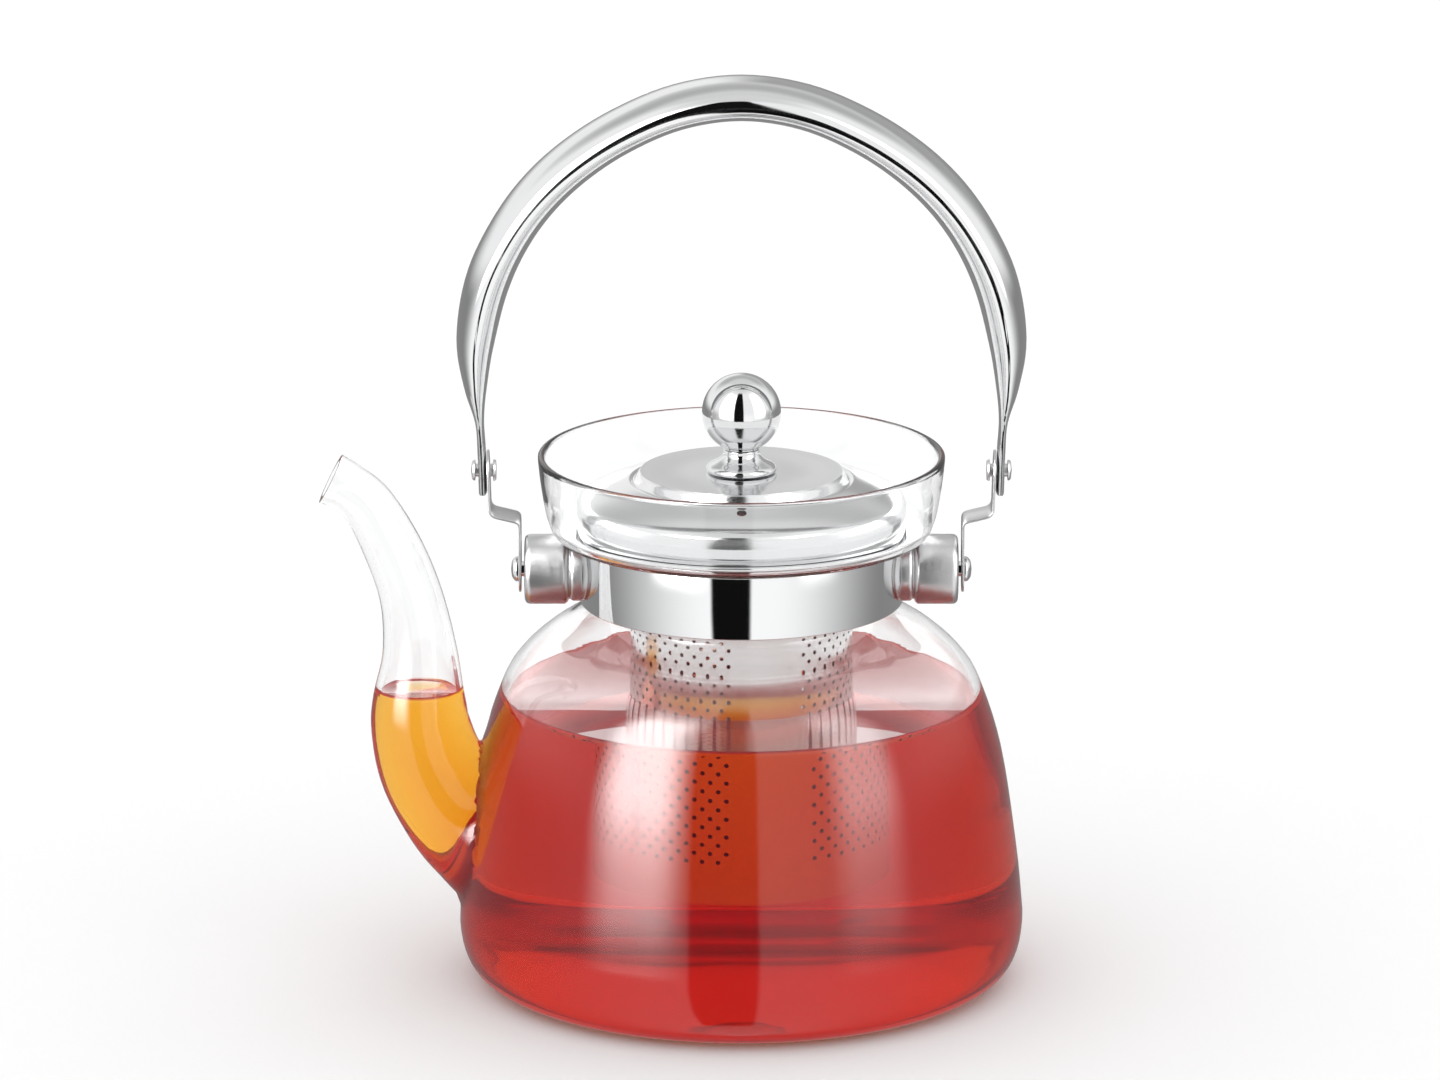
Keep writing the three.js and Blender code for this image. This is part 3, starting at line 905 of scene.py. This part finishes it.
def cell(punched):
    """A flat cell of the basket's wall on the +X side, with eight outer corners."""
    bm = bmesh.new()
    bmesh.ops.create_grid(bm, x_segments=2, y_segments=2, size=0.5)
    half = BASKET_R * math.tan(math.pi / COLUMNS)
    bmesh.ops.scale(bm, vec=(2 * half * MM, ROW_PITCH * MM, 1), verts=bm.verts)
    if punched:
        centre = min(bm.verts, key=lambda vert: vert.co.length)
        bmesh.ops.delete(bm, geom=[centre], context="VERTS")
        outer = bm.edges[:]
        bmesh.ops.create_circle(bm, segments=8, radius=HOLE_R * MM)
        bmesh.ops.bridge_loops(bm, edges=[e for e in bm.edges if e in outer or e.is_wire])
    turn = Matrix.Rotation(math.pi / 2, 3, "Z") @ Matrix.Rotation(math.pi / 2, 3, "X")
    bmesh.ops.rotate(bm, verts=bm.verts, matrix=turn)
    bmesh.ops.translate(bm, verts=bm.verts, vec=(BASKET_R * MM, 0, 0))
    return bm


def row_pair():
    """Two staggered rows of cells, punched except along the seam."""
    step = TURN / COLUMNS
    bm = bmesh.new()
    for count, first, punched in ((COLUMNS - PLAIN_COLUMNS, 0, True),
                                  (PLAIN_COLUMNS, COLUMNS - PLAIN_COLUMNS, False)):
        part = cell(punched)
        bmesh.ops.rotate(part, verts=part.verts,
                         matrix=Matrix.Rotation(FIRST_COLUMN + first * step, 3, "Z"))
        bmesh.ops.spin(part, geom=part.verts[:] + part.edges[:] + part.faces[:], cent=(0, 0, 0),
                       axis=(0, 0, 1), angle=step * (count - 1), steps=count - 1, use_duplicate=True)
        mesh = bpy.data.meshes.new("cells")
        part.to_mesh(mesh)
        part.free()
        bm.from_mesh(mesh)
        bpy.data.meshes.remove(mesh)
    copy = bmesh.ops.duplicate(bm, geom=bm.verts[:] + bm.edges[:] + bm.faces[:])["geom"]
    upper = [item for item in copy if isinstance(item, bmesh.types.BMVert)]
    bmesh.ops.rotate(bm, verts=upper, matrix=Matrix.Rotation(step / 2, 3, "Z"))
    bmesh.ops.translate(bm, verts=upper, vec=(0, 0, ROW_PITCH * MM))
    return bm


# %% Stack the rows and add the plain ends
def basket_wall():
    bm = row_pair()
    bmesh.ops.translate(bm, verts=bm.verts, vec=(0, 0, (HOLES_FROM + ROW_PITCH / 2) * MM))
    first = bm.verts[:] + bm.edges[:] + bm.faces[:]
    for k in range(1, ROW_PAIRS):
        copy = bmesh.ops.duplicate(bm, geom=first)["geom"]
        verts = [item for item in copy if isinstance(item, bmesh.types.BMVert)]
        bmesh.ops.translate(bm, verts=verts, vec=(0, 0, 2 * k * ROW_PITCH * MM))
    bmesh.ops.remove_doubles(bm, verts=bm.verts, dist=0.12 * MM)
    middle = HOLES_FROM + ROW_PAIRS * ROW_PITCH
    for level, end in ((BASKET_LOW, -1), (BASKET_HIGH, 1)):
        rim = [edge for edge in bm.edges if edge.is_boundary
               and end * (edge.verts[0].co.z / MM - middle) > ROW_PAIRS * ROW_PITCH - 0.2
               and end * (edge.verts[1].co.z / MM - middle) > ROW_PAIRS * ROW_PITCH - 0.2]
        made = bmesh.ops.extrude_edge_only(bm, edges=rim)["geom"]
        for vert in (item for item in made if isinstance(item, bmesh.types.BMVert)):
            vert.co.z = level * MM
    for vert in bm.verts:
        vert.co.xy = vert.co.xy.normalized() * BASKET_R * MM
    bmesh.ops.recalc_face_normals(bm, faces=bm.faces)
    sample = bm.faces[:][0]
    if sample.normal.dot(sample.calc_center_median()) < 0:
        bmesh.ops.reverse_faces(bm, faces=bm.faces)
    bmesh.ops.solidify(bm, geom=bm.faces[:], thickness=BASKET_SHEET * MM)
    return bm


piece("basket_mesh", basket_wall(), BASKET, "infuser", ["infuser_wall"])

# %% Flange and base of the basket
FLANGE_R = span("infuser_flange", 0)[1]
FLANGE_LOW, FLANGE_HIGH = LEDGE_Z + 0.3, span("infuser_flange", 2)[1]
SLEEVE_R = BASKET_R + 0.2
SLEEVE_LOW = span("infuser_flange", 2)[0]
bead = 0.75
flange = rounded([
    (SLEEVE_R, SLEEVE_LOW), (SLEEVE_R + SHEET, SLEEVE_LOW), (SLEEVE_R + SHEET, FLANGE_LOW, 0.8),
    (FLANGE_R, FLANGE_LOW, bead), (FLANGE_R, FLANGE_HIGH, bead), (FLANGE_R - 2 * bead, FLANGE_HIGH, bead),
    (FLANGE_R - 2.4, FLANGE_LOW + SHEET, 0.6), (SLEEVE_R, FLANGE_LOW + SHEET, 1.2),
], 0.3, closed=True, steps=5)
piece("basket_flange", turned(flange, closed=True, steps=144), POLISHED, "infuser",
      ["infuser_flange"])

BASE_LOW = span("infuser_base", 2)[0]
BASE_CUP_R = BASKET_R - BASKET_SHEET - 0.1
base = rounded([(BASE_CUP_R, BASE_LOW + 5), (BASE_CUP_R, BASE_LOW, 1.4), (20, BASE_LOW, 0.8),
                (19, BASE_LOW + 0.7, 0.8), (9, BASE_LOW + 0.7, 0.8), (8, BASE_LOW, 0.8), (0, BASE_LOW)], 1)
base_cup = pressed(base, BASKET_SHEET)
piece("basket_base", base_cup, BASKET, "infuser", ["infuser_base"])

# %% [markdown]
# ## Lid and knob
#
# The lid is pressed from one disc: a bulged side, a dome, a fine step, and a nearly flat middle with
# a steam hole outside the step. A ring below it carries the skirt that drops into the basket. The knob is
# a turned ball on a flared foot, drawn down by a screw and a washer from inside.

# %% Lid
LID_R = 43.2
LID_LOW, LID_HIGH = span("lid_dome", 2)
VENT_Y = -33.0
lid_side = flowing([(LID_R, LID_LOW), (LID_R + 0.35, 124.6), (LID_R + 0.3, 127), (LID_R - 0.5, 128.9),
                    (41.2, 130.2), (37.6, 131.8), (33.2, 133.2), (30.2, 134.1), (29.3, 134.25)], 5)
LID_MIDDLE = span("knob_collar", 2)[0] - 0.3
lid_step = flowing([(28.9, 134.1), (28.4, 133.9), (28, 134.2), (27.4, 135.1), (26.6, LID_HIGH - 0.1),
                    (25.4, LID_HIGH), (17, LID_HIGH - 0.3), (9.6, LID_MIDDLE)], 4)
lid = pressed([*lid_side, *lid_step, Vector((2.2, LID_MIDDLE))], 0.7, steps=144)
vent = bmesh.new()
bmesh.ops.create_cone(vent, cap_ends=True, segments=24, radius1=1.25 * MM, radius2=1.25 * MM, depth=12 * MM)
bmesh.ops.translate(vent, verts=vent.verts, vec=(0, VENT_Y * MM, 133 * MM))
lid = combine(lid, vent, "DIFFERENCE")
piece("lid_pressing", lid, SPUN, "lid", ["lid_dome"])

LINER_R = span("lid_liner", 0)[1]
LINER_LOW, LINER_HIGH = span("lid_liner", 2)
skirt_r = BASKET_R - SHEET - 0.4
liner_ring = rounded([(skirt_r, LINER_LOW), (skirt_r, LINER_HIGH - SHEET, 0.8), (LINER_R, LINER_HIGH - SHEET),
                      (LINER_R, LINER_HIGH), (skirt_r - SHEET, LINER_HIGH, 1.4),
                      (skirt_r - SHEET, LINER_LOW)], 0.3, closed=True)
piece("lid_skirt", turned(liner_ring, closed=True), POLISHED, "lid", ["lid_liner"])

# %% Knob, screw and washer
KNOB_R = span("knob_ball", 1)[1]
KNOB_TOP = span("knob_ball", 2)[1]
KNOB_Z = KNOB_TOP - KNOB_R
SEAT_Z, WAIST_Z = span("knob_collar", 2)
foot = rounded([(2.2, SEAT_Z), (9.0, SEAT_Z, 0.3), (9.35, SEAT_Z + 0.9, 0.5), (8.6, SEAT_Z + 1.8, 0.9),
                (6.2, SEAT_Z + 2.9, 1.6), (4.7, SEAT_Z + 4.6, 1.2), (4.7, WAIST_Z, 0.2), (2.2, WAIST_Z)],
               0.3, closed=True, steps=6)
piece("knob_foot", turned(foot, closed=True), POLISHED, "lid", ["knob_collar"])

neck_angle = math.asin(4.7 / KNOB_R)
globe = [Vector((KNOB_R * math.sin(a), KNOB_Z - KNOB_R * math.cos(a)))
         for a in (neck_angle + (math.pi - neck_angle) * k / 40 for k in range(41))]
globe[-1].x = 0
ball = [Vector((0, KNOB_Z - 2)), Vector((2.2, KNOB_Z - 2)), Vector((2.2, WAIST_Z + 0.25)),
        Vector((4.5, WAIST_Z + 0.25)), *globe]
piece("knob_globe", turned(ball), POLISHED, "lid", ["knob_ball"])

SCREW_LOW, SCREW_HIGH = span("knob_screw", 2)
WASHER_LOW, WASHER_HIGH = span("knob_washer", 2)
screw = rounded([(0, SCREW_LOW + 0.8), (2, SCREW_LOW + 0.8), (2.4, SCREW_LOW), (3.8, SCREW_LOW, 0.8),
                 (3.8, WASHER_LOW - 0.2), (1.9, WASHER_LOW - 0.2), (1.9, SCREW_HIGH), (0, SCREW_HIGH)], 0.2)
piece("knob_fixing_screw", turned(screw, steps=48), SATIN, "lid", ["knob_screw"])
washer = rounded([(2.2, WASHER_LOW), (7, WASHER_LOW), (7, WASHER_HIGH), (2.2, WASHER_HIGH)], 0.2, closed=True)
piece("knob_fixing_washer", turned(washer, closed=True, steps=48), SATIN, "lid",
      ["knob_washer"])
